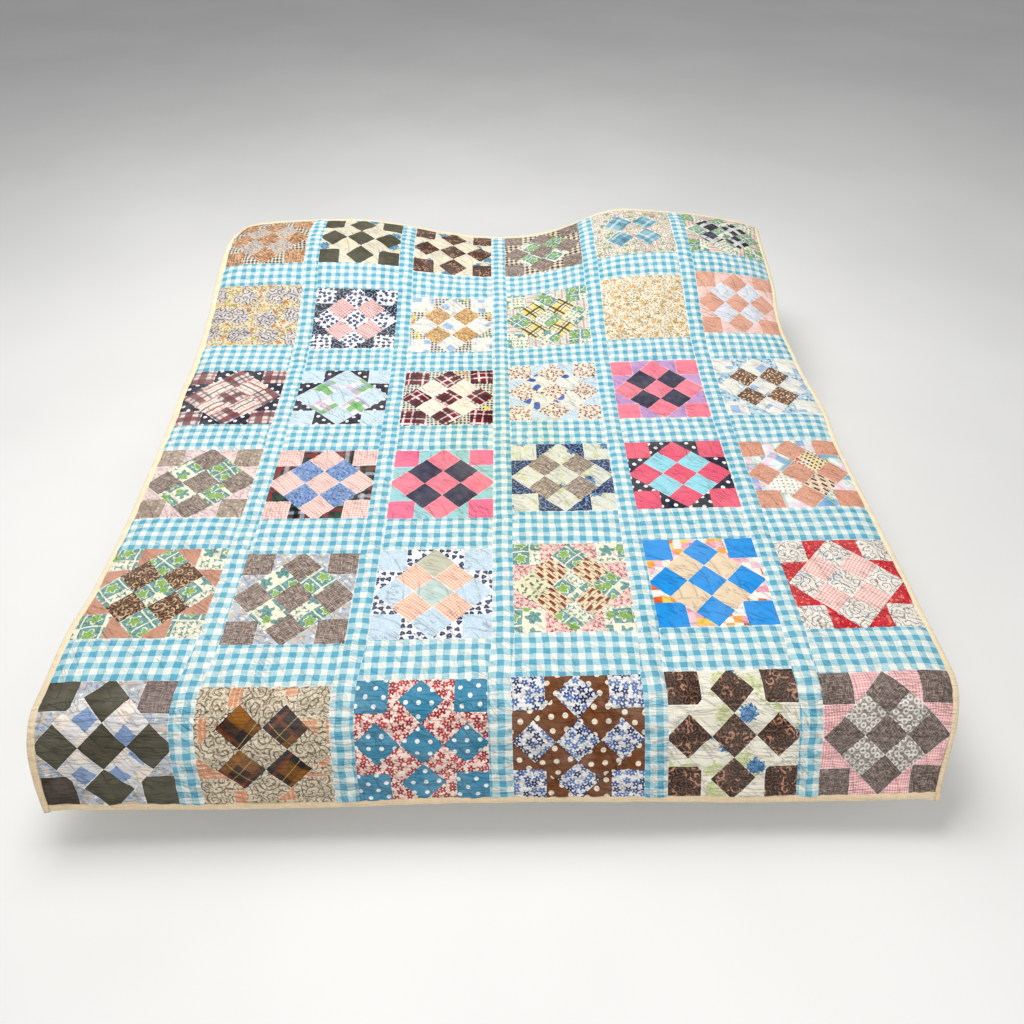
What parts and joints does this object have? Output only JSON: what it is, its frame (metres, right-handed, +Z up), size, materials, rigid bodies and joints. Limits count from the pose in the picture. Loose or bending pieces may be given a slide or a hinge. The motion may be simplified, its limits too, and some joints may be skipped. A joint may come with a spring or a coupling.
{
  "type": "patchwork quilt on a mattress with two pillows",
  "caption": "Patchwork quilt laid over a plain mattress and two plain pillows, its foot end falling over the mattress edge and its head end raised by the pillows.",
  "frame": {"origin": "on the floor, under the middle of the mattress and quilt", "axes": "+Z up, +Y from the foot of the quilt to its head, +X to the right seen from the foot"},
  "size_m": [1.6683, 1.9293, 0.4017],
  "materials": {
    "quilt_cotton": "woven cotton, matt",
    "binding_cotton": "woven cotton, matt",
    "mattress_ticking": "woven ticking, matt",
    "pillow_cotton": "plain cotton, matt"
  },
  "bodies": {
    "root": {"quilt": "quilt_cotton", "binding_head": "binding_cotton", "binding_foot": "binding_cotton", "binding_left": "binding_cotton", "binding_right": "binding_cotton", "mattress": "mattress_ticking", "pillow_left": "pillow_cotton", "pillow_right": "pillow_cotton"}
  },
  "joints": []
}
